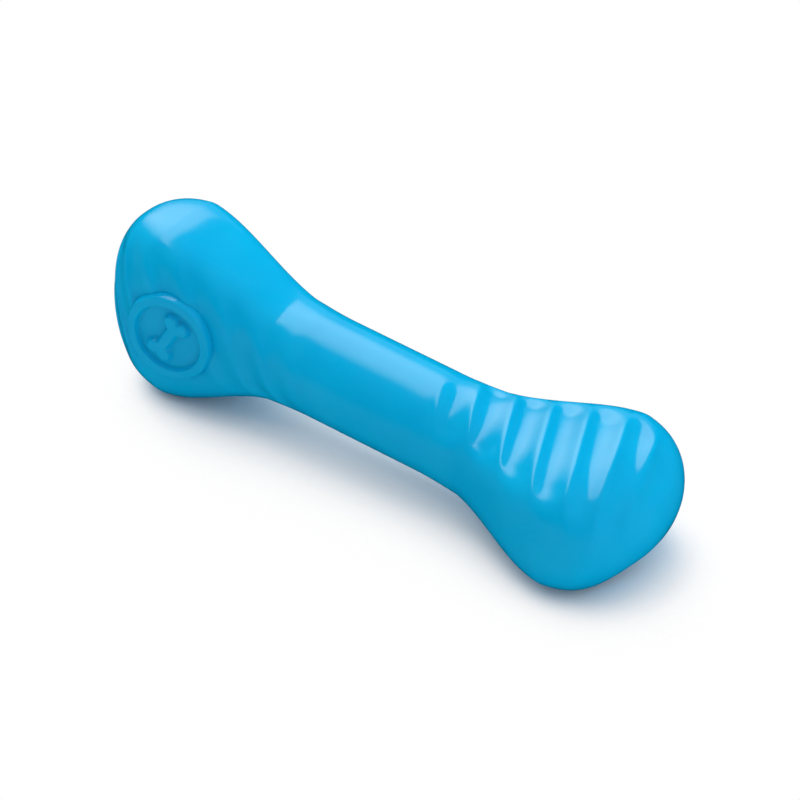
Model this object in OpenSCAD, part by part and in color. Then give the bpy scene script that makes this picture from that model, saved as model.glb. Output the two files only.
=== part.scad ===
// Chew bone of soft rubber. A flat knuckle sits at each end of a round shaft, and the two knuckles are a
// quarter turn apart. The bone lies as it comes to rest: the knuckle at +X lies flat on its broad face,
// and the one at -X stands on its narrow edge. A skin with soft ripples is moulded over a smooth core, and
// a round badge is seated in the broad face of the standing knuckle.

/* [Bone] */
// Length from tip to tip
bone_l = 210; // [170:5:260]
// Diameter of the round shaft
shaft_d = 34; // [28:1:38]
// Width of a knuckle across its broad face
knuckle_w = 63; // [56:0.5:72]
// Thickness of a knuckle between its broad faces
knuckle_t = 44; // [40:0.5:50]
// How much further out the top of the standing knuckle reaches than its foot
standing_lean = 5; // [0:0.5:7]
// Depth of the flats that its own weight presses where the rubber meets the floor
rest_flat = 0.6; // [0.2:0.1:0.9]

/* [Knuckle outline] */
// Distance from the tip at which a knuckle starts to widen
widen_l = 67; // [60:1:76]
// Length over which it widens
widen_run = 42; // [38:0.5:50]
// Distance from the tip at which a knuckle starts to thicken
thicken_l = 63; // [52:0.5:68]
// Length over which it thickens
thicken_run = 50; // [34:0.5:54]
// How much the radius of the end, seen on the broad face, exceeds half the width
broad_end_extra = 19; // [12:0.5:26]
// How much the radius of the end, seen from the side, exceeds half the thickness
edge_end_extra = 1.1; // [0.8:0.1:4]
// Distance from the tip at which the round section starts to flatten its faces
flatten_l = 84; // [75:1:85]
// Length over which it does
flatten_run = 52; // [44:1:60]
// Distance from the tip at which the section turns round again
blunt_l = 24; // [18:0.5:30]

/* [Skin and core] */
// Thickness of the skin over the core
skin_t = 6; // [5:0.5:8]
// Width of the bond line between the skin and the core
bond_gap = 0.2; // [0.1:0.05:0.4]

/* [Ripples] */
// Distance between the ridges of the lying knuckle along the bone
lying_pitch = 13.3; // [11:0.1:18]
// Distance from its tip to one of its ridges, short of where they crowd
lying_ridge_l = 30.6; // [25:0.1:40]
// Distance between the ridges of the standing knuckle along the bone
standing_pitch = 11.7; // [10:0.1:16]
// Distance from its tip to one of its ridges, short of where they crowd
standing_ridge_l = 22.2; // [20:0.1:40]
// Depth of the valleys between the lying knuckle's ridges
lying_depth = 2.4; // [0.6:0.1:2.8]
// Depth of the valleys between the standing knuckle's ridges
standing_depth = 1.2; // [0.4:0.1:1.6]
// Angle of the lying knuckle's ridges from square across the bone
lying_angle = 25.5; // [10:0.5:40]
// Angle of the standing knuckle's ridges from square across the bone
standing_angle = 23; // [10:0.5:40]
// Distance from the tip within which the ridges crowd together
crowd_l = 25; // [15:1:35]
// The larger, the less they crowd
crowd_run = 90; // [50:5:120]
// Length of the stretch with ripples, from the tip
ripple_l = 88; // [70:1:98]
// Length over which the ripples fade toward the shaft
ripple_fade_l = 22; // [8:1:28]
// Length over which they fade toward the tip
ripple_tip_l = 6; // [4:1:14]

/* [Badge] */
// Outer diameter of the badge
badge_d = 32; // [26:0.5:34]
// Distance from the tip to the badge's centre
badge_l = 33; // [31:0.5:38]
// Width of its raised rim
rim_w = 4; // [2.5:0.25:5]
// Height of its raised parts above the face around it
badge_rise = 1.6; // [1:0.1:2.4]
// Depth of its field, between the raised parts, below that face
badge_field = 0.4; // [0:0.1:0.8]
// Depth of the seat that holds it
badge_seat = 3.2; // [2.6:0.1:3.8]
// Clearance around it in its seat
badge_gap = 0.1; // [0.05:0.05:0.3]
// Length of the small bone figure on it
figure_l = 18; // [12:0.5:20]
// Width of that figure's bar
figure_bar_w = 4; // [2.5:0.25:5]
// Diameter of the lobes at its ends
figure_lobe_d = 5; // [3.5:0.25:6]
// Angle at which the figure stands
figure_angle = 62; // [0:1:90]

/* [Hidden] */
$fn = 96;

rubber_blue = "#00A9E0";
core_blue = "#0090C8";

half_l = bone_l / 2;
shaft_r = shaft_d / 2;
badge_r = badge_d / 2;

// Each view of a knuckle: half size, start and length of the flare, its S shape, radius of the end, and how
// tightly the corner between flare and end is drawn
widen_share = 1.2;
thicken_share = 1.5;
broad_corner_share = 5.2;
edge_corner_share = 19;
broad = [knuckle_w / 2, half_l - widen_l, widen_run, widen_share, knuckle_w / 2 + broad_end_extra,
    broad_corner_share];
edge = [knuckle_t / 2, half_l - thicken_l, thicken_run, thicken_share, knuckle_t / 2 + edge_end_extra,
    edge_corner_share];

// Power of the section on the shaft, on a knuckle and at the tip: 2 is an ellipse, and more has flatter
// faces with tighter edges
round_share = 2;
flat_share = 3.5;
tip_share = 1.8;
// Ripples of each knuckle: distance between the ridges, distance from the tip to one of them, slope of their
// slant, how much steeper a valley is beside its ridge nearer the tip than beside the other, and its depth.
// On both knuckles the flanks that face +X are the steeper ones.
lying_steep_share = 0.15;
standing_steep_share = 0.35;
lying_ripples = [lying_pitch, lying_ridge_l, tan(lying_angle), -lying_steep_share, lying_depth];
standing_ripples = [standing_pitch, standing_ridge_l, tan(standing_angle), standing_steep_share,
    standing_depth];
// How far across the face they run, how far that stretch is shifted off its middle, and how round the
// ridges are
ripple_full_share = 0.55;
ripple_end_share = 0.9;
ripple_shift_share = 0.15;
ridge_share = 0.12;
// How far a lobe of the small figure sits from its axis, in lobe diameters
lobe_share = 0.42;

// Counts that set how fine the surfaces are
skin_sides = 48;
skin_stations = 50;
core_sides = 32;
core_stations = 20;
crown_sides = 240;
aim_steps = 8;
settle_steps = 6;

function clamped(s) = min(1, max(0, s));

function ramp(s) = let (c = clamped(s)) c * c * (3 - 2 * c);

function s_curve(s, k) = let (c = clamped(s)) pow(c, k) / (pow(c, k) + pow(1 - c, k));

// Half size at a distance from the middle: the flare, trimmed by the round end through a smooth corner
function half_size(x, view, aim, inset) =
    let (
        flare_r = shaft_r + (aim - shaft_r) * s_curve((x - view[1]) / view[2], view[3]) - inset,
        end_r = view[4] - inset,
        reach = min(end_r, half_l - inset - x),
        end_arc = sqrt(end_r * end_r - (end_r - reach) * (end_r - reach)),
        k = view[5]
    )
    pow(pow(flare_r, -k) + pow(end_arc, -k), -1 / k);

// Distances of the rings from the middle, closer together toward the tip, which is left out
function stations(count, inset) = [for (i = [0 : count - 1]) (half_l - inset) * sin(90 * i / count)];

// What the flare has to aim at, so that the trimmed knuckle has the half size asked for
function aimed(view, aim, steps) =
    steps == 0 ? aim :
    let (peak = max([for (x = stations(skin_stations, 0)) half_size(x, view, aim, 0)]))
    aimed(view, aim * view[0] / peak, steps - 1);

broad_aim = aimed(broad, broad[0], aim_steps);
edge_aim = aimed(edge, edge[0], aim_steps);

function broad_half(x, inset = 0) = half_size(x, broad, broad_aim, inset);
function edge_half(x, inset = 0) = half_size(x, edge, edge_aim, inset);

// Power of the section's rounded oblong at a distance from the middle
function section_power(x) =
    round_share + (flat_share - round_share) * ramp((x - half_l + flatten_l) / flatten_run)
    - (flat_share - tip_share) * clamped((x - half_l + blunt_l) / blunt_l);

// Valleys like shallow arcs that meet in rounded ridges: 0 on a ridge and 1 in the deepest line of a valley
function scallop(s, steeper) =
    let (
        part = s - floor(s),
        bow = sin(180 * (part + 2 * steeper * part * (1 - part))),
        low = sqrt(bow * bow + ridge_share * ridge_share) - ridge_share,
        high = sqrt(1 + ridge_share * ridge_share) - ridge_share
    )
    low / high;

// Depth of the ripples at a point of a knuckle, given along the bone, across the face and out of it
function ripple_dip(ripples, x, across, out, half_across) =
    let (
        from_tip = half_l - x,
        crowd = pow(max(0, crowd_l - from_tip), 2) / crowd_run,
        aside = sign(out) * across,
        valley = scallop((from_tip - crowd - ripples[1] + aside * ripples[2]) / ripples[0], ripples[3]),
        ends = ramp(from_tip / ripple_tip_l) * ramp((ripple_l - from_tip) / ripple_fade_l),
        edges = 1 - ramp((abs(aside / half_across - ripple_shift_share) - ripple_full_share)
            / (ripple_end_share - ripple_full_share))
    )
    ripples[4] * valley * ends * edges;

// How far the standing knuckle leans out, per height above the bone's axis
function lean_at(d) = standing_lean / knuckle_w * ramp((d - broad[1]) / broad[2]);

// One ring of points at x on the bone. The standing knuckle is at -X and the lying one at +X.
function ring(x, sides, inset, rippled) =
    let (
        d = abs(x),
        stands = x < 0,
        w = broad_half(d, inset),
        t = edge_half(d, inset),
        half_y = stands ? t : w,
        half_z = stands ? w : t,
        k = section_power(d),
        lean = stands ? lean_at(d) : 0
    )
    [for (j = [0 : sides - 1])
        let (
            a = 360 * j / sides,
            r = pow(pow(abs(cos(a)) / half_y, k) + pow(abs(sin(a)) / half_z, k), -1 / k),
            y = r * cos(a),
            z = r * sin(a),
            dip_y = rippled && stands ? sign(y) * ripple_dip(standing_ripples, d, -z, y, w) : 0,
            dip_z = rippled && !stands ? sign(z) * ripple_dip(lying_ripples, d, -y, z, w) : 0
        )
        [x - lean * z, y - dip_y, z - dip_z]
    ];

// Places of all rings, from the tip at -X to the tip at +X
function places(count, inset) =
    let (half = stations(count, inset))
    [for (i = [1 - count : count - 1]) (i < 0 ? -1 : 1) * half[abs(i)]];

// Closed body swept through the rings, with a point at each tip
module bone_body(sides, count, inset, rippled) {
    xs = places(count, inset);
    body = [for (x = xs) each ring(x, sides, inset, rippled)];
    first = len(body);
    last = first + 1;
    top = sides * (len(xs) - 1);
    walls = [for (i = [0 : len(xs) - 2], j = [0 : sides - 1])
        let (a = i * sides + j, b = i * sides + (j + 1) % sides)
        each [[a, b + sides, b], [a, a + sides, b + sides]]];
    tips = [for (j = [0 : sides - 1])
        let (b = (j + 1) % sides)
        each [[first, j, b], [last, top + b, top + j]]];
    polyhedron([each body, [inset - half_l, 0, 0], [half_l - inset, 0, 0]], concat(walls, tips));
}

// Outline of the upright section along the bone: the standing knuckle's edge and the lying one's faces
standing_outline = [for (x = stations(skin_stations, 0), s = [-1, 1])
    [-x - s * lean_at(x) * broad_half(x), s * broad_half(x)]];
lying_outline = [for (x = stations(skin_stations, 0), s = [-1, 1])
    [x, s * (edge_half(x) - ripple_dip(lying_ripples, x, 0, 1, broad_half(x)))]];

// The upright section turned by an angle about the Y axis
function turned(points, a) =
    [for (p = points) [p[0] * cos(a) + p[1] * sin(a), p[1] * cos(a) - p[0] * sin(a)]];

// The lowest point of a list
function lowest(points, i = 0, best = 0) =
    i == len(points) ? points[best] : lowest(points, i + 1, points[i][1] < points[best][1] ? i : best);

// The angle at which both knuckles touch the floor, found by turning toward it step by step
function settled(a, steps) =
    steps == 0 ? a :
    let (
        left = lowest(turned(standing_outline, a)),
        right = lowest(turned(lying_outline, a))
    )
    settled(a + atan((right[1] - left[1]) / (right[0] - left[0])), steps - 1);

rest_angle = settled(0, settle_steps);
rest_outline = turned(concat(standing_outline, lying_outline, [[-half_l, 0], [half_l, 0]]), rest_angle);
rest_xs = [for (p = rest_outline) p[0]];
rest_drop = lowest(rest_outline)[1] + rest_flat;
rest_shift = (min(rest_xs) + max(rest_xs)) / 2;

module at_rest() {
    translate([-rest_shift, 0, -rest_drop]) rotate([0, rest_angle, 0]) children();
}

// Everything below the floor
module below_floor() {
    translate([0, 0, -half_l]) cube([2 * bone_l, bone_l, bone_l], center = true);
}

// The badge's plane lies along the broad face, from one side of the badge to the other, and its top is
// crowned as the face is
badge_x = half_l - badge_l;
face_in = edge_half(badge_x - badge_r);
face_out = edge_half(badge_x + badge_r);
badge_turn = atan((face_out - face_in) / badge_d);
badge_crown = edge_half(badge_x) - (face_in + face_out) / 2;
crown_r = (badge_r * badge_r + badge_crown * badge_crown) / (2 * badge_crown);

// Children stand on the badge's plane, with +Z out of the face and +Y up
module on_face() {
    translate([-badge_x, -(face_in + face_out) / 2, 0]) rotate([0, 0, badge_turn]) rotate([90, 0, 0])
        children();
}

// Small bone figure, flat
module figure() {
    reach = (figure_l - figure_lobe_d) / 2;
    rotate(figure_angle) {
        square([2 * reach, figure_bar_w], center = true);
        for (x = [-reach, reach], y = [-lobe_share, lobe_share])
            translate([x, y * figure_lobe_d]) circle(d = figure_lobe_d);
    }
}

// Crowned disc whose edge is at a height above the badge's plane
module crowned(edge_height) {
    intersection() {
        translate([0, 0, -badge_seat]) cylinder(h = badge_seat + 2 * badge_crown + edge_height, r = badge_r);
        translate([0, 0, edge_height + badge_crown - crown_r]) sphere(r = crown_r, $fn = crown_sides);
    }
}

module badge() {
    crowned(-badge_field);
    intersection() {
        crowned(badge_rise);
        translate([0, 0, -badge_seat]) linear_extrude(badge_seat + 2 * badge_crown + badge_rise) {
            difference() {
                circle(r = badge_r);
                circle(r = badge_r - rim_w);
            }
            figure();
        }
    }
}

module badge_seat_cut() {
    translate([0, 0, -badge_seat]) cylinder(h = badge_seat + knuckle_t, r = badge_r + badge_gap);
}

module outer_skin() {
    color(rubber_blue) difference() {
        at_rest() bone_body(skin_sides, skin_stations, 0, true);
        at_rest() bone_body(core_sides, core_stations, skin_t, false);
        at_rest() on_face() badge_seat_cut();
        below_floor();
    }
}

module core() {
    color(core_blue) at_rest() bone_body(core_sides, core_stations, skin_t + bond_gap, false);
}

module end_badge() {
    color(rubber_blue) at_rest() on_face() badge();
}

outer_skin();
core();
end_badge();
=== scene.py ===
"""Rubber chew bone on a white studio floor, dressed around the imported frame.

Blender 4.5, metres, +Z up. Sizes of the bone and its patterns are written in millimetres.
"""
import math

import bpy
from mathutils import Matrix, Vector
from mathutils.bvhtree import BVHTree


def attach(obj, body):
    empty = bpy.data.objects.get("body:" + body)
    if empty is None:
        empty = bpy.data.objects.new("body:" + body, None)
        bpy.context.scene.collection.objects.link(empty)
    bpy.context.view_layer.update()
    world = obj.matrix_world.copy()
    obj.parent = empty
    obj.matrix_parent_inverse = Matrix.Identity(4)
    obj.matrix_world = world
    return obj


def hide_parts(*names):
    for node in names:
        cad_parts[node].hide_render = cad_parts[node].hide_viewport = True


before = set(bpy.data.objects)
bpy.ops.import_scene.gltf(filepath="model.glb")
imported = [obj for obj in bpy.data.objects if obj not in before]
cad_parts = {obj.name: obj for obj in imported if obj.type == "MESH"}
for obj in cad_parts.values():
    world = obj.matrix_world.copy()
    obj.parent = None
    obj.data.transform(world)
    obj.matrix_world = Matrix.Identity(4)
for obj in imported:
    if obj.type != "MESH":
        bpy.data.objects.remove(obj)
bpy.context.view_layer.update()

MM = 0.001
SCENE = bpy.context.scene

# Sizes of the bone, the same as the frame's, with turns in radians. The moulding tree has an input for each
# of those in BONE. The two aims are what the flares head for, so that a knuckle trimmed by its round end is
# 63 mm across and 44 mm thick. The rest values lay the bone on its two flats.
KNUCKLE_W = 63.0
STANDING_LEAN = 5.0
HALF_L = 105.0
BONE = {
    "Half length": HALF_L,
    "Shaft radius": 17.0,
    "Broad aim": 32.858,
    "Broad start": HALF_L - 67.0,
    "Broad run": 42.0,
    "Broad S share": 1.2,
    "Broad end radius": 50.5,
    "Broad corner share": 5.2,
    "Edge aim": 23.121,
    "Edge start": HALF_L - 63.0,
    "Edge run": 50.0,
    "Edge S share": 1.5,
    "Edge end radius": 23.1,
    "Edge corner share": 19.0,
    "Flatten start": HALF_L - 84.0,
    "Flatten run": 52.0,
    "Blunt start": HALF_L - 24.0,
    "Round share": 2.0,
    "Flat share": 3.5,
    "Tip share": 1.8,
    "Lean": STANDING_LEAN / KNUCKLE_W,
    "Skin thickness": 6.0,
    "Lying pitch": 13.3,
    "Lying ridge": 30.6,
    "Lying slant": math.tan(math.radians(25.5)),
    "Lying steeper": -0.15,
    "Lying depth": 2.4,
    "Standing pitch": 11.7,
    "Standing ridge": 22.2,
    "Standing slant": math.tan(math.radians(23)),
    "Standing steeper": 0.35,
    "Standing depth": 1.2,
    "Crowd length": 25.0,
    "Crowd run": 90.0,
    "Ripple length": 88.0,
    "Ripple fade": 22.0,
    "Ripple tip fade": 6.0,
    "Ripple shift share": 0.15,
    "Ripple full share": 0.55,
    "Ripple end share": 0.9,
    "Ridge share": 0.12,
    "Seat depth": 3.2,
    "Seat radius": 15.2,
    "Seat wall": 1.4,
    "Badge from middle": 72.0,
    "Rest turn": math.radians(3.3716),
    "Rest shift": 0.020,
    "Rest drop": -26.3385,
    "Outer rings": 420,
    "Outer sides": 176,
    "Inner rings": 120,
    "Inner sides": 64,
}
# What the inner wall and the face under the badge have instead: no ripples and no seat
PLAIN = {"Lying depth": 0.0, "Standing depth": 0.0, "Seat depth": 0.0}

# The badge, in the bone's place before it is laid down. Its middle lies BADGE_FACE in front of the bone's
# middle plane, and the knuckle's flare turns it by BADGE_TURN. RAY_START is how far out the rays start that
# find the knuckle's face.
BADGE_R = 16.0
BADGE_RIM_W = 4.0
BADGE_RISE = 1.5
BADGE_FIELD = 0.4
BADGE_SEAT = 3.0
BADGE_EDGE_R = 0.55
BADGE_FACE = 19.974
BADGE_TURN = math.radians(6.3823)
BADGE_RINGS = 96
BADGE_RING_POWER = 0.9
BADGE_SIDES = 240
RAY_START = 40.0

# The figure on the badge: a bar with two lobes at each end. A lobe's middle lies FIGURE_LOBE_SHARE of its
# diameter off the bar's middle line, and FIGURE_BLEND is the fillet between them.
FIGURE_L = 18.0
FIGURE_BAR_W = 4.0
FIGURE_LOBE_D = 5.0
FIGURE_LOBE_SHARE = 0.42
FIGURE_ANGLE = math.radians(62)
FIGURE_BLEND = 1.2

# The rubber's surface: how wide its patterns are, how deep their relief is, and how far light scatters in
# it. NOISE_SPAN is the part of a noise that is spread over a pattern's whole range.
MOTTLE_W = 18.0
PATCH_W = 9.0
PATCH_ROUGHNESS = 0.025
PEEL_W = 5.0
PEEL_DEPTH = 0.03
GRAIN_W = 0.5
GRAIN_DEPTH = 0.004
SCATTER_L = 2.0
NOISE_SPAN = (0.3, 0.7)

# The floor's half width, in metres, and its shadow. The camera sees the floor's real shading near the bone
# and painted plain white further out, split by an occlusion mask. These give how near the bone has to be to
# shade a spot in that mask, which way the mask leans, and how open the floor is where the real shadow is
# kept whole and where painted white has covered it
FLOOR_HALF = 3.0
SHADOW_REACH = 90.0
SHADOW_MASK_LEAN = (-0.35, -0.1, 1.0)
SHADOW_SPAN = (0.35, 0.85)

# The room's fill, where a level of 1 lights white to white. It rises toward both ends of x, and it rises
# toward the right, the back and above as it falls the other way. The back's share stops at FILL_BACK_LIMIT.
FILL_LEVEL = 0.64
FILL_ENDS = 0.35
FILL_RIGHT = 0.1
FILL_BACK = 0.6
FILL_BACK_LIMIT = 0.1
FILL_ABOVE = 0.42

# The softbox: the direction it shines from, its distance, the height it aims at and its sizes in metres, and
# its radiance. Its light fades in along the panel over SOFTBOX_NEAR, on a slant, and fades out over
# SOFTBOX_FAR, in shares of its length from the near end.
SOFTBOX_TOWARDS = (-0.626, 0.383, 0.680)
SOFTBOX_AWAY = 1.5
SOFTBOX_AIM_Z = 0.03
SOFTBOX_W = 1.59
SOFTBOX_L = 3.1
SOFTBOX_RADIANCE = 2.3
SOFTBOX_SLANT = 0.8
SOFTBOX_NEAR = (0.52, 0.89)
SOFTBOX_FAR = (0.59, 0.83)
SOFTBOX_FAR_LEVEL = 0.1

# Stands in for 0 at the middle of an end cap, where a negative power of 0 would fail
ALMOST_0 = 1e-9

# The kinds of node that are used most
MATH = "ShaderNodeMath"
RANGE = "ShaderNodeMapRange"
MIX = "ShaderNodeMix"


def linear(hex_colour):
    """sRGB hex to linear RGBA."""
    parts = [int(hex_colour[i:i + 2], 16) / 255 for i in (1, 3, 5)]
    return tuple(p / 12.92 if p <= 0.04045 else ((p + 0.055) / 1.055) ** 2.4 for p in parts) + (1.0,)


def add(tree, kind, *feeds, named=None, **settings):
    """Adds a node with its settings. Its inputs are fed in order and by name, with values or links."""
    node = tree.nodes.new(kind)
    for key, value in settings.items():
        setattr(node, key, value)
    pairs = [(node.inputs[i], feed) for i, feed in enumerate(feeds) if feed is not None]
    pairs += [(node.inputs[key], feed) for key, feed in (named or {}).items()]
    for socket, feed in pairs:
        if isinstance(feed, bpy.types.Node):
            feed = feed.outputs[0]
        if isinstance(feed, bpy.types.NodeSocket):
            tree.links.new(feed, socket)
        else:
            socket.default_value = feed
    return node


def new_group(name, inputs, outputs):
    """An empty Geometry Nodes group: (tree, its inputs inside, its output node)."""
    tree = bpy.data.node_groups.new(name, "GeometryNodeTree")
    for label in inputs:
        whole = label.endswith(("rings", "sides")) or label in ("Rings", "Sides")
        kind = "NodeSocketInt" if whole else "NodeSocketFloat"
        kind = "NodeSocketMaterial" if label == "Material" else kind
        tree.interface.new_socket(label, in_out="INPUT", socket_type=kind)
    for label, kind in outputs.items():
        tree.interface.new_socket(label, in_out="OUTPUT", socket_type=kind)
    return tree, tree.nodes.new("NodeGroupInput").outputs, tree.nodes.new("NodeGroupOutput")


def half_size_group():
    """Half size of the bone at a distance from its middle: the flare, trimmed by the round end."""
    labels = ["Along", "Half length", "Shaft radius", "Inset", "Aim", "Start", "Run", "S share",
              "End radius", "Corner share"]
    tree, given, out = new_group("half size", labels, {"Half": "NodeSocketFloat"})
    stop = add(tree, MATH, given["Start"], given["Run"], operation="ADD")
    s = add(tree, RANGE, given["Along"], given["Start"], stop, 0.0, 1.0)
    rise = add(tree, MATH, s, given["S share"], operation="POWER")
    left = add(tree, MATH, 1.0, s, operation="SUBTRACT")
    rest = add(tree, MATH, left, given["S share"], operation="POWER")
    both = add(tree, MATH, rise, rest, operation="ADD")
    share = add(tree, MATH, rise, both, operation="DIVIDE")
    gain = add(tree, MATH, given["Aim"], given["Shaft radius"], operation="SUBTRACT")
    flare = add(tree, MATH, gain, share, given["Shaft radius"], operation="MULTIPLY_ADD")
    flare = add(tree, MATH, flare, given["Inset"], operation="SUBTRACT")
    end_r = add(tree, MATH, given["End radius"], given["Inset"], operation="SUBTRACT")
    from_tip = add(tree, MATH, given["Half length"], given["Inset"], operation="SUBTRACT")
    from_tip = add(tree, MATH, from_tip, given["Along"], operation="SUBTRACT")
    reach = add(tree, MATH, end_r, from_tip, operation="MINIMUM")
    short = add(tree, MATH, end_r, reach, operation="SUBTRACT")
    short_square = add(tree, MATH, short, short, operation="MULTIPLY")
    end_square = add(tree, MATH, end_r, end_r, operation="MULTIPLY")
    arc_square = add(tree, MATH, end_square, short_square, operation="SUBTRACT")
    arc = add(tree, MATH, arc_square, 0.5, operation="POWER")
    tight = add(tree, MATH, given["Corner share"], -1.0, operation="MULTIPLY")
    flare_part = add(tree, MATH, flare, tight, operation="POWER")
    arc_part = add(tree, MATH, arc, tight, operation="POWER")
    parts = add(tree, MATH, flare_part, arc_part, operation="ADD")
    loose = add(tree, MATH, 1.0, tight, operation="DIVIDE")
    half = add(tree, MATH, parts, loose, operation="POWER")
    tree.links.new(half.outputs[0], out.inputs["Half"])
    return tree


def ripple_group():
    """Depth of the ripples at a point of a knuckle: arcs, steeper on one side, that meet in ridges."""
    labels = ["Along", "Across", "Out", "Half across", "Pitch", "Ridge", "Slant", "Steeper", "Depth",
              "Half length", "Crowd length", "Crowd run", "Ripple length", "Ripple fade",
              "Ripple tip fade", "Ripple shift share", "Ripple full share", "Ripple end share",
              "Ridge share"]
    tree, given, out = new_group("ripple dip", labels, {"Dip": "NodeSocketFloat"})
    from_tip = add(tree, MATH, given["Half length"], given["Along"], operation="SUBTRACT")
    near = add(tree, MATH, given["Crowd length"], from_tip, operation="SUBTRACT")
    near = add(tree, MATH, near, 0.0, operation="MAXIMUM")
    near_square = add(tree, MATH, near, near, operation="MULTIPLY")
    crowd = add(tree, MATH, near_square, given["Crowd run"], operation="DIVIDE")
    side = add(tree, MATH, given["Out"], operation="SIGN")
    slant = add(tree, MATH, side, given["Across"], operation="MULTIPLY")
    aside = add(tree, MATH, slant, given["Half across"], operation="DIVIDE")
    aside = add(tree, MATH, aside, given["Ripple shift share"], operation="SUBTRACT")
    place = add(tree, MATH, from_tip, crowd, operation="SUBTRACT")
    place = add(tree, MATH, place, given["Ridge"], operation="SUBTRACT")
    place = add(tree, MATH, slant, given["Slant"], place, operation="MULTIPLY_ADD")
    turns = add(tree, MATH, place, given["Pitch"], operation="DIVIDE")
    part = add(tree, MATH, turns, operation="FRACT")
    left = add(tree, MATH, 1.0, part, operation="SUBTRACT")
    bend = add(tree, MATH, part, left, operation="MULTIPLY")
    bend = add(tree, MATH, bend, given["Steeper"], operation="MULTIPLY")
    bent = add(tree, MATH, bend, 2.0, part, operation="MULTIPLY_ADD")
    angle = add(tree, MATH, bent, math.pi, operation="MULTIPLY")
    bow = add(tree, MATH, angle, operation="SINE")
    bow_square = add(tree, MATH, bow, bow, operation="MULTIPLY")
    soft_square = add(tree, MATH, given["Ridge share"], given["Ridge share"], operation="MULTIPLY")
    low = add(tree, MATH, bow_square, soft_square, operation="ADD")
    low = add(tree, MATH, low, operation="SQRT")
    low = add(tree, MATH, low, given["Ridge share"], operation="SUBTRACT")
    high = add(tree, MATH, 1.0, soft_square, operation="ADD")
    high = add(tree, MATH, high, operation="SQRT")
    high = add(tree, MATH, high, given["Ridge share"], operation="SUBTRACT")
    valley = add(tree, MATH, low, high, operation="DIVIDE")
    at_tip = add(tree, RANGE, from_tip, 0.0, given["Ripple tip fade"], 0.0, 1.0,
                 interpolation_type="SMOOTHSTEP")
    fade_from = add(tree, MATH, given["Ripple length"], given["Ripple fade"], operation="SUBTRACT")
    at_shaft = add(tree, RANGE, from_tip, fade_from, given["Ripple length"], 1.0, 0.0,
                   interpolation_type="SMOOTHSTEP")
    off_middle = add(tree, MATH, aside, operation="ABSOLUTE")
    at_edge = add(tree, RANGE, off_middle, given["Ripple full share"], given["Ripple end share"],
                  1.0, 0.0, interpolation_type="SMOOTHSTEP")
    dip = add(tree, MATH, valley, given["Depth"], operation="MULTIPLY")
    for fade in (at_tip, at_shaft, at_edge):
        dip = add(tree, MATH, dip, fade, operation="MULTIPLY")
    tree.links.new(dip.outputs[0], out.inputs["Dip"])
    return tree


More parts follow.
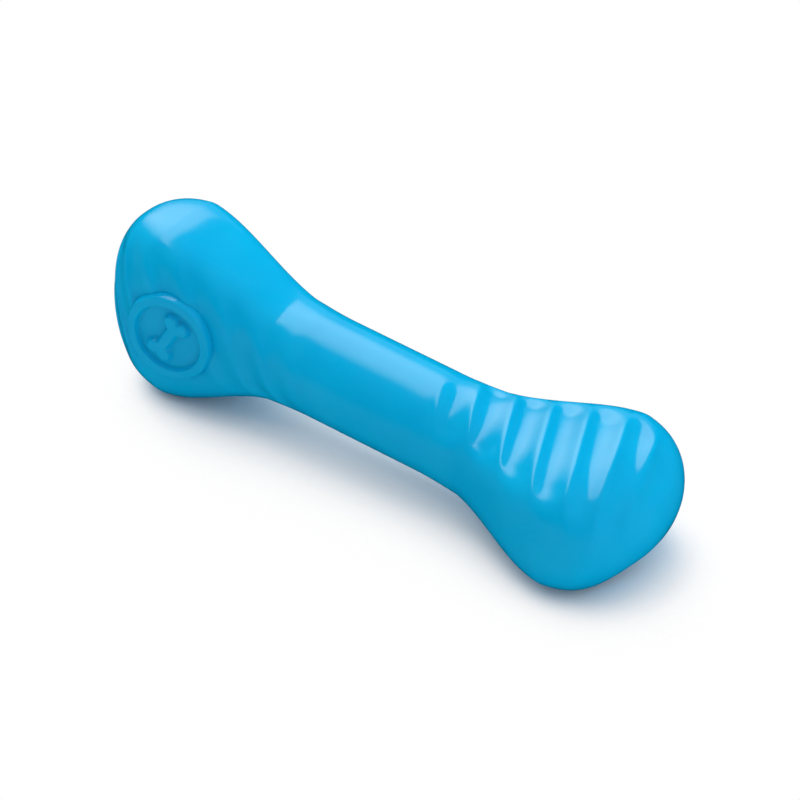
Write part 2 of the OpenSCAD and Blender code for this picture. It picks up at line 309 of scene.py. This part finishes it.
def bone_group(half_size, ripples):
    """One closed surface of the bone, inset from its outside, in metres and lying as it rests."""
    sizes = [label for label in BONE if not label.endswith((" rings", " sides"))]
    tree, given, out = new_group("bone surface", sizes + ["Inset", "Rings", "Sides"],
                                 {"Geometry": "NodeSocketGeometry"})
    tube = add(tree, "GeometryNodeMeshCylinder", given["Sides"], given["Rings"], 1, 1.0, 2.0,
               fill_type="TRIANGLE_FAN")
    spot = add(tree, "ShaderNodeSeparateXYZ", add(tree, "GeometryNodeInputPosition")).outputs
    # The wall of the unit tube has 1 here, and the middle of each end cap has 0
    x_square = add(tree, MATH, spot["X"], spot["X"], operation="MULTIPLY")
    wall = add(tree, MATH, spot["Y"], spot["Y"], x_square, operation="MULTIPLY_ADD")
    step = add(tree, MATH, 2.0, given["Rings"], operation="DIVIDE")
    short = add(tree, MATH, wall, step, operation="MULTIPLY")
    reach = add(tree, MATH, 1.0, short, operation="SUBTRACT")
    turn = add(tree, MATH, spot["Z"], reach, operation="MULTIPLY")
    turn = add(tree, MATH, turn, math.pi / 2, operation="MULTIPLY")
    turn = add(tree, MATH, turn, operation="SINE")
    inner_half = add(tree, MATH, given["Half length"], given["Inset"], operation="SUBTRACT")
    x = add(tree, MATH, turn, inner_half, operation="MULTIPLY")
    along = add(tree, MATH, x, operation="ABSOLUTE")
    stands = add(tree, MATH, x, 0.0, operation="LESS_THAN")

    shared = {label: given[label] for label in ("Half length", "Shaft radius", "Inset")}
    halves = {}
    for view in ("Broad", "Edge"):
        own = {label: given[view + " " + label[0].lower() + label[1:]]
               for label in ("Aim", "Start", "Run", "End radius", "Corner share")}
        own["S share"] = given[view + " S share"]
        halves[view] = add(tree, "GeometryNodeGroup", node_tree=half_size,
                           named={"Along": along, **shared, **own})
    half_y = add(tree, MIX, stands, None, halves["Broad"], halves["Edge"])
    half_z = add(tree, MIX, stands, None, halves["Edge"], halves["Broad"])

    flat_stop = add(tree, MATH, given["Flatten start"], given["Flatten run"], operation="ADD")
    power = add(tree, RANGE, along, given["Flatten start"], flat_stop,
                given["Round share"], given["Flat share"], interpolation_type="SMOOTHSTEP")
    blunting = add(tree, MATH, given["Flat share"], given["Tip share"], operation="SUBTRACT")
    blunt = add(tree, RANGE, along, given["Blunt start"], given["Half length"], 0.0, blunting)
    power = add(tree, MATH, power, blunt, operation="SUBTRACT")

    parts = []
    for unit, half in ((spot["X"], half_y), (spot["Y"], half_z)):
        size = add(tree, MATH, unit, operation="ABSOLUTE")
        size = add(tree, MATH, size, half, operation="DIVIDE")
        parts.append(add(tree, MATH, size, power, operation="POWER"))
    both = add(tree, MATH, parts[0], parts[1], operation="ADD")
    both = add(tree, MATH, both, ALMOST_0, operation="MAXIMUM")
    root = add(tree, MATH, -1.0, power, operation="DIVIDE")
    radius = add(tree, MATH, both, root, operation="POWER")
    y = add(tree, MATH, spot["X"], radius, operation="MULTIPLY")
    z = add(tree, MATH, spot["Y"], radius, operation="MULTIPLY")

    minus_y = add(tree, MATH, y, -1.0, operation="MULTIPLY")
    minus_z = add(tree, MATH, z, -1.0, operation="MULTIPLY")
    outward = add(tree, MIX, stands, None, z, y)
    ripple_names = [item.name for item in ripples.interface.items_tree
                    if item.in_out == "INPUT" and item.name in BONE]
    dip = add(tree, "GeometryNodeGroup", node_tree=ripples, named={
        "Along": along,
        "Across": add(tree, MIX, stands, None, minus_y, minus_z),
        "Out": outward,
        "Half across": halves["Broad"],
        **{own.capitalize(): add(tree, MIX, stands, None,
                                 given["Lying " + own], given["Standing " + own])
           for own in ("pitch", "ridge", "slant", "steeper", "depth")},
        **{label: given[label] for label in ripple_names},
    })
    side = add(tree, MATH, outward, operation="SIGN")
    dip = add(tree, MATH, dip, side, operation="MULTIPLY")
    dip_y = add(tree, MATH, dip, stands, operation="MULTIPLY")
    dip_z = add(tree, MATH, dip, dip_y, operation="SUBTRACT")
    y = add(tree, MATH, y, dip_y, operation="SUBTRACT")

    lean_stop = add(tree, MATH, given["Broad start"], given["Broad run"], operation="ADD")
    lean = add(tree, RANGE, along, given["Broad start"], lean_stop, 0.0, given["Lean"],
               interpolation_type="SMOOTHSTEP")
    lean = add(tree, MATH, lean, stands, operation="MULTIPLY")
    lean = add(tree, MATH, lean, z, operation="MULTIPLY")
    x = add(tree, MATH, x, lean, operation="SUBTRACT")
    z = add(tree, MATH, z, dip_z, operation="SUBTRACT")

    # The badge's seat is pressed into the near face of the standing knuckle
    from_badge = add(tree, MATH, x, given["Badge from middle"], operation="ADD")
    from_badge = add(tree, "ShaderNodeCombineXYZ", from_badge, 0.0, z)
    from_badge = add(tree, "ShaderNodeVectorMath", from_badge, operation="LENGTH")
    seat_in = add(tree, MATH, given["Seat radius"], given["Seat wall"], operation="SUBTRACT")
    press = add(tree, RANGE, from_badge.outputs["Value"], seat_in, given["Seat radius"],
                given["Seat depth"], 0.0)
    near_side = add(tree, MATH, y, 0.0, operation="LESS_THAN")
    y = add(tree, MATH, press, near_side, y, operation="MULTIPLY_ADD")

    place = add(tree, "ShaderNodeCombineXYZ", x, y, z)
    place = add(tree, "ShaderNodeVectorRotate", place, (0.0, 0.0, 0.0), None, given["Rest turn"],
                rotation_type="Y_AXIS")
    shift = add(tree, "ShaderNodeCombineXYZ", given["Rest shift"], 0.0, given["Rest drop"])
    place = add(tree, "ShaderNodeVectorMath", place, shift, operation="SUBTRACT")
    above = add(tree, "ShaderNodeSeparateXYZ", place).outputs
    height = add(tree, MATH, above["Z"], 0.0, operation="MAXIMUM")
    place = add(tree, "ShaderNodeCombineXYZ", above["X"], above["Y"], height)
    place = add(tree, "ShaderNodeVectorMath", place, named={"Scale": MM}, operation="SCALE")
    moved = add(tree, "GeometryNodeSetPosition", tube.outputs["Mesh"], None, place)
    tree.links.new(moved.outputs[0], out.inputs["Geometry"])
    return tree


def moulding_tree(surface):
    """The skin as a closed shell: its outside with ripples and seat, and its smooth inner wall."""
    tree, given, out = new_group("moulded skin", list(BONE) + ["Material"],
                                 {"Geometry": "NodeSocketGeometry"})
    passed = {item.name: given[item.name] for item in surface.interface.items_tree
              if item.in_out == "INPUT" and item.name in BONE}
    outside = add(tree, "GeometryNodeGroup", node_tree=surface, named={
        **passed, "Inset": 0.0, "Rings": given["Outer rings"], "Sides": given["Outer sides"]})
    inside = add(tree, "GeometryNodeGroup", node_tree=surface, named={
        **passed, "Inset": given["Skin thickness"], **PLAIN,
        "Rings": given["Inner rings"], "Sides": given["Inner sides"]})
    inside = add(tree, "GeometryNodeFlipFaces", inside)
    both = add(tree, "GeometryNodeJoinGeometry", outside)
    tree.links.new(inside.outputs[0], both.inputs[0])
    smooth = add(tree, "GeometryNodeSetShadeSmooth", both)
    real = add(tree, "GeometryNodeRealizeInstances", smooth)
    skinned = add(tree, "GeometryNodeSetMaterial", real, None, given["Material"])
    tree.links.new(skinned.outputs[0], out.inputs["Geometry"])
    return tree


def moulded(name, tree, sizes):
    """Runs the tree once with these sizes, and returns its result as an object with a plain mesh."""
    piece = bpy.data.objects.new(name, bpy.data.meshes.new(name))
    SCENE.collection.objects.link(piece)
    modifier = piece.modifiers.new("Moulding", "NODES")
    modifier.node_group = tree
    for item in tree.interface.items_tree:
        if item.in_out == "INPUT":
            modifier[item.identifier] = sizes[item.name]
    graph = bpy.context.evaluated_depsgraph_get()
    mesh = bpy.data.meshes.new_from_object(piece.evaluated_get(graph), depsgraph=graph)
    piece.modifiers.remove(modifier)
    piece.data = mesh
    mesh.name = name
    return piece


def softstep(value, start, stop):
    """0 before start, 1 after stop, and smooth between them."""
    s = min(1.0, max(0.0, (value - start) / (stop - start)))
    return s * s * (3 - 2 * s)


def figure_distance(p, q):
    """How far a point of the badge lies outside the small bone figure, in millimetres."""
    cos_a, sin_a = math.cos(FIGURE_ANGLE), math.sin(FIGURE_ANGLE)
    a, b = abs(p * cos_a + q * sin_a), abs(q * cos_a - p * sin_a)
    reach = (FIGURE_L - FIGURE_LOBE_D) / 2
    bar = math.hypot(max(a - reach, 0.0), max(b - FIGURE_BAR_W / 2, 0.0))
    if bar == 0:
        bar = max(a - reach, b - FIGURE_BAR_W / 2)
    lobe = math.hypot(a - reach, b - FIGURE_LOBE_D * FIGURE_LOBE_SHARE) - FIGURE_LOBE_D / 2
    # The two forms run into each other through a small fillet
    mix = max(FIGURE_BLEND - abs(bar - lobe), 0.0) / FIGURE_BLEND
    return min(bar, lobe) - mix * mix * FIGURE_BLEND / 4


def badge_height(p, q):
    """Height of the badge over the knuckle's face at a point of its plane, in millimetres."""
    radius = math.hypot(p, q)
    lift = BADGE_RISE + BADGE_FIELD
    rim = softstep(radius, BADGE_R - BADGE_RIM_W - BADGE_EDGE_R, BADGE_R - BADGE_RIM_W + BADGE_EDGE_R)
    figure = 1 - softstep(figure_distance(p, q), -BADGE_EDGE_R, BADGE_EDGE_R)
    top = lift * max(rim, figure) - BADGE_FIELD
    # The outer wall falls off through a round shoulder and goes down into the seat
    over = max(0.0, radius - (BADGE_R - 2 * BADGE_EDGE_R)) / (2 * BADGE_EDGE_R)
    shoulder = 1 - math.sqrt(max(0.0, 1 - over * over))
    return top - shoulder * (BADGE_RISE + BADGE_SEAT)


def badge_piece(face, material):
    """The badge: a disc that follows the knuckle's face, with raised rim and figure, closed at the back."""
    rest = (Matrix.Translation(Vector((-BONE["Rest shift"], 0, -BONE["Rest drop"])) * MM)
            @ Matrix.Rotation(BONE["Rest turn"], 4, "Y"))
    side = Vector((math.cos(BADGE_TURN), math.sin(BADGE_TURN), 0))
    up = Vector((0, 0, 1))
    out = Vector((math.sin(BADGE_TURN), -math.cos(BADGE_TURN), 0))
    centre = Vector((-BONE["Badge from middle"], -BADGE_FACE, 0))
    away = (rest.to_3x3() @ out).normalized()

    def on_face(p, q):
        """The point of the knuckle's smooth face over a point of the badge's plane."""
        start = rest @ ((centre + side * p + up * q + out * RAY_START) * MM)
        return face.ray_cast(start, -away)[0]

    points = [on_face(0, 0) + away * badge_height(0, 0) * MM]
    bottom = []
    for ring in range(1, BADGE_RINGS + 1):
        # Rings lie closer together toward the outer wall
        radius = BADGE_R * math.sin(math.pi / 2 * ring / BADGE_RINGS) ** BADGE_RING_POWER
        for step in range(BADGE_SIDES):
            angle = 2 * math.pi * step / BADGE_SIDES
            p, q = radius * math.cos(angle), radius * math.sin(angle)
            spot = on_face(p, q)
            points.append(spot + away * badge_height(p, q) * MM)
            if ring == BADGE_RINGS:
                bottom.append(len(points) - 1)
    faces = []
    for step in range(BADGE_SIDES):
        after = (step + 1) % BADGE_SIDES
        faces.append((0, 1 + step, 1 + after))
        for ring in range(BADGE_RINGS - 1):
            inner, outer = 1 + ring * BADGE_SIDES, 1 + (ring + 1) * BADGE_SIDES
            faces.append((inner + step, outer + step, outer + after, inner + after))
    back = sum((points[i] for i in bottom), Vector()) / len(bottom)
    points.append(back)
    for step in range(BADGE_SIDES):
        faces.append((bottom[(step + 1) % BADGE_SIDES], bottom[step], len(points) - 1))
    mesh = bpy.data.meshes.new("badge")
    mesh.from_pydata(points, [], faces)
    mesh.validate()
    mesh.shade_smooth()
    mesh.materials.append(material)
    piece = bpy.data.objects.new("badge", mesh)
    SCENE.collection.objects.link(piece)
    return piece


def moulded_rubber(name, colour, shade, roughness):
    """Injection-moulded rubber: a polished skin with faint orange peel, fine mould grain and mottling."""
    material = bpy.data.materials.new(name)
    material.use_nodes = True
    tree = material.node_tree
    shader = tree.nodes["Principled BSDF"]
    place = add(tree, "ShaderNodeTexCoord").outputs["Object"]
    # Mottling from uneven pigment
    cloud = add(tree, "ShaderNodeTexNoise", named={
        "Vector": place, "Scale": 1 / (MOTTLE_W * MM), "Detail": 3.0})
    tint = add(tree, RANGE, cloud.outputs["Fac"], *NOISE_SPAN, 0.0, 1.0)
    mixed = add(tree, MIX, tint, data_type="RGBA")
    mixed.inputs[6].default_value = linear(shade)
    mixed.inputs[7].default_value = linear(colour)
    tree.links.new(mixed.outputs[2], shader.inputs["Base Color"])
    # Handling leaves patches a little glossier than the rest
    patch = add(tree, "ShaderNodeTexNoise", named={
        "Vector": place, "Scale": 1 / (PATCH_W * MM), "Detail": 4.0})
    gloss = add(tree, RANGE, patch.outputs["Fac"], *NOISE_SPAN,
                roughness - PATCH_ROUGHNESS, roughness + PATCH_ROUGHNESS)
    tree.links.new(gloss.outputs[0], shader.inputs["Roughness"])
    # Orange peel, and the mould's own grain, which is finer in truth and drawn this wide so that it shows
    peel = add(tree, "ShaderNodeTexNoise", named={
        "Vector": place, "Scale": 1 / (PEEL_W * MM), "Detail": 1.0})
    grain = add(tree, "ShaderNodeTexNoise", named={
        "Vector": place, "Scale": 1 / (GRAIN_W * MM), "Detail": 2.0})
    coarse = add(tree, "ShaderNodeBump", named={
        "Strength": 1.0, "Distance": PEEL_DEPTH * MM, "Height": peel.outputs["Fac"]})
    fine = add(tree, "ShaderNodeBump", named={
        "Strength": 1.0, "Distance": GRAIN_DEPTH * MM, "Height": grain.outputs["Fac"],
        "Normal": coarse})
    tree.links.new(fine.outputs[0], shader.inputs["Normal"])
    shader.inputs["IOR"].default_value = 1.5
    # Some light goes in and comes out again nearby, the blue of it farthest
    shader.inputs["Subsurface Weight"].default_value = 0.12
    shader.inputs["Subsurface Radius"].default_value = (0.2, 0.7, 1.0)
    shader.inputs["Subsurface Scale"].default_value = SCATTER_L * MM
    return material


def white_floor():
    """Matt white studio floor. The camera sees its real shadow near the bone, fading into painted plain
    white where an occlusion mask finds the floor open.
    """
    material = bpy.data.materials.new("matt_white_studio_floor")
    material.use_nodes = True
    tree = material.node_tree
    tree.nodes.remove(tree.nodes["Principled BSDF"])
    matt = add(tree, "ShaderNodeBsdfDiffuse", linear("#FFFAF6"))
    plain = add(tree, "ShaderNodeEmission", (1.0, 1.0, 1.0, 1.0), 1.0)
    # How open the floor is above it, with the mask leaning one way: painted white covers the floor's real
    # shading where it is open
    lean = Vector(SHADOW_MASK_LEAN).normalized()
    open_share = add(tree, "ShaderNodeAmbientOcclusion", named={"Distance": SHADOW_REACH * MM}, samples=8)
    tree.links.new(add(tree, "ShaderNodeCombineXYZ", *lean).outputs[0], open_share.inputs["Normal"])
    fade = add(tree, RANGE, open_share.outputs["AO"], *SHADOW_SPAN, 0.0, 1.0,
               interpolation_type="SMOOTHSTEP")
    path = add(tree, "ShaderNodeLightPath").outputs
    # For the camera, painted plain white takes the place of the floor's real shading as the mask opens
    share = add(tree, MATH, fade, path["Is Camera Ray"], operation="MULTIPLY")
    mixed = add(tree, "ShaderNodeMixShader", share, matt, plain)
    # The rubber's polish shows the softbox and not the floor
    unlit = add(tree, "ShaderNodeEmission", (1.0, 1.0, 1.0, 1.0), 0.0)
    mixed = add(tree, "ShaderNodeMixShader", path["Is Glossy Ray"], mixed, unlit)
    tree.links.new(mixed.outputs[0], tree.nodes["Material Output"].inputs["Surface"])
    return material


def floor_piece():
    """A large flat sheet under the bone, which isn't part of it."""
    corners = [(x * FLOOR_HALF, y * FLOOR_HALF, 0) for x, y in ((-1, -1), (1, -1), (1, 1), (-1, 1))]
    mesh = bpy.data.meshes.new("floor")
    mesh.from_pydata(corners, [], [(0, 1, 2, 3)])
    mesh.materials.append(white_floor())
    floor = bpy.data.objects.new("floor", mesh)
    SCENE.collection.objects.link(floor)


def studio_world():
    """Soft fill, least from the front and below, and plain white where the camera sees past the floor."""
    world = bpy.data.worlds.new("studio")
    SCENE.world = world
    world.use_nodes = True
    # The plain faces of the real bone show no reflection of the room
    world.cycles_visibility.glossy = False
    tree = world.node_tree
    tree.nodes.remove(tree.nodes["Background"])
    direction = add(tree, "ShaderNodeTexCoord").outputs["Generated"]
    towards = add(tree, "ShaderNodeSeparateXYZ", direction).outputs
    ends = add(tree, MATH, towards["X"], towards["X"], operation="MULTIPLY")
    level = add(tree, MATH, ends, FILL_ENDS, FILL_LEVEL, operation="MULTIPLY_ADD")
    level = add(tree, MATH, towards["X"], FILL_RIGHT, level, operation="MULTIPLY_ADD")
    behind = add(tree, MATH, towards["Y"], FILL_BACK_LIMIT, operation="MINIMUM")
    level = add(tree, MATH, behind, FILL_BACK, level, operation="MULTIPLY_ADD")
    level = add(tree, MATH, towards["Z"], FILL_ABOVE, level, operation="MULTIPLY_ADD")
    level = add(tree, MATH, level, 0.0, operation="MAXIMUM")
    fill = add(tree, "ShaderNodeBackground", linear("#F4F8FF"), level)
    white = add(tree, "ShaderNodeBackground", (1.0, 1.0, 1.0, 1.0), 1.0)
    path = add(tree, "ShaderNodeLightPath").outputs
    mixed = add(tree, "ShaderNodeMixShader", path["Is Camera Ray"], fill, white)
    tree.links.new(mixed.outputs[0], tree.nodes["World Output"].inputs["Surface"])


def softbox(name, colour):
    """A soft panel above, left of and behind the bone, whose light falls off toward both its ends."""
    lamp = bpy.data.lights.new(name, "AREA")
    lamp.shape = "RECTANGLE"
    lamp.size, lamp.size_y = SOFTBOX_W, SOFTBOX_L
    lamp.energy = SOFTBOX_RADIANCE * math.pi * SOFTBOX_W * SOFTBOX_L
    lamp.color = colour[:3]
    lamp.use_nodes = True
    tree = lamp.node_tree
    spot = add(tree, "ShaderNodeNewGeometry").outputs["Parametric"]
    spot = add(tree, "ShaderNodeSeparateXYZ", spot).outputs
    slanted = add(tree, MATH, spot["X"], SOFTBOX_SLANT, spot["Y"], operation="MULTIPLY_ADD")
    near = add(tree, RANGE, slanted, *SOFTBOX_NEAR, 0.0, 1.0, interpolation_type="SMOOTHSTEP")
    far = add(tree, RANGE, spot["Y"], *SOFTBOX_FAR, 1.0, SOFTBOX_FAR_LEVEL,
              interpolation_type="SMOOTHSTEP")
    level = add(tree, MATH, near, far, operation="MULTIPLY")
    glow = tree.nodes["Emission"]
    tree.links.new(level.outputs[0], glow.inputs["Strength"])
    light = bpy.data.objects.new(name, lamp)
    SCENE.collection.objects.link(light)
    back = Vector(SOFTBOX_TOWARDS).normalized()
    across = Vector((1, 0, 0))
    across = (across - back * across.dot(back)).normalized()
    along = back.cross(across)
    light.matrix_world = Matrix((across, along, back)).transposed().to_4x4()
    light.location = back * SOFTBOX_AWAY + Vector((0, 0, SOFTBOX_AIM_Z))


def photo_camera():
    """The camera at the photograph's viewing angle, in a frame of 800 by 800."""
    elevation, azimuth = math.radians(36), math.radians(36.5825)
    distance = 1389.11 * MM
    frame_px, sensor = 800, 36.0
    # The point at this height over the origin lies at this pixel of the photo, and is drawn at this scale
    middle_z = 27.6
    middle_x, middle_y = 385.63, 392.20
    pixels_per_mm = 3.1465
    right = Vector((math.cos(azimuth), math.sin(azimuth), 0))
    back = Vector((math.sin(azimuth) * math.cos(elevation), -math.cos(azimuth) * math.cos(elevation),
                   math.sin(elevation)))
    up = back.cross(right)
    target = Vector((0, 0, middle_z)) * MM
    target += right * (frame_px / 2 - middle_x) / pixels_per_mm * MM
    target -= up * (frame_px / 2 - middle_y) / pixels_per_mm * MM
    lens = bpy.data.cameras.new("camera")
    lens.sensor_width = sensor
    lens.lens = pixels_per_mm * distance / MM / frame_px * sensor
    camera = bpy.data.objects.new("camera", lens)
    SCENE.collection.objects.link(camera)
    camera.location = target + back * distance
    camera.rotation_euler = (-back).to_track_quat("-Z", "Y").to_euler()
    SCENE.camera = camera


photo_camera()
SCENE.view_settings.view_transform = "Standard"
studio_world()
softbox("overhead_softbox", linear("#FFF6EA"))
floor_piece()

# Soft rubber, pigmented right through and moulded in a smooth steel tool: a clear, even blue under a bright
# highlight with soft edges. The badge is a touch duller, and the hidden core darker and duller still.
skin_rubber = moulded_rubber("moulded_blue_rubber_skin", "#00B6E8", "#00B0E4", 0.15)
core_rubber = moulded_rubber("moulded_blue_rubber_core", "#0090C8", "#008CC4", 0.4)
badge_rubber = moulded_rubber("moulded_blue_rubber_badge", "#00B2E4", "#00ADE0", 0.17)

moulding = moulding_tree(bone_group(half_size_group(), ripple_group()))
skin = moulded("skin", moulding, {**BONE, "Material": skin_rubber})
smooth = moulded("smooth", moulding, {**BONE, **PLAIN, "Material": skin_rubber})
face = BVHTree.FromObject(smooth, bpy.context.evaluated_depsgraph_get())
badge = badge_piece(face, badge_rubber)
bpy.data.objects.remove(smooth)

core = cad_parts["core"]
core.data.materials.clear()
core.data.materials.append(core_rubber)

for piece, node, slot in ((skin, "outer_skin", "skin_rubber"), (badge, "end_badge", "badge_rubber")):
    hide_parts(node)
    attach(piece, "root")
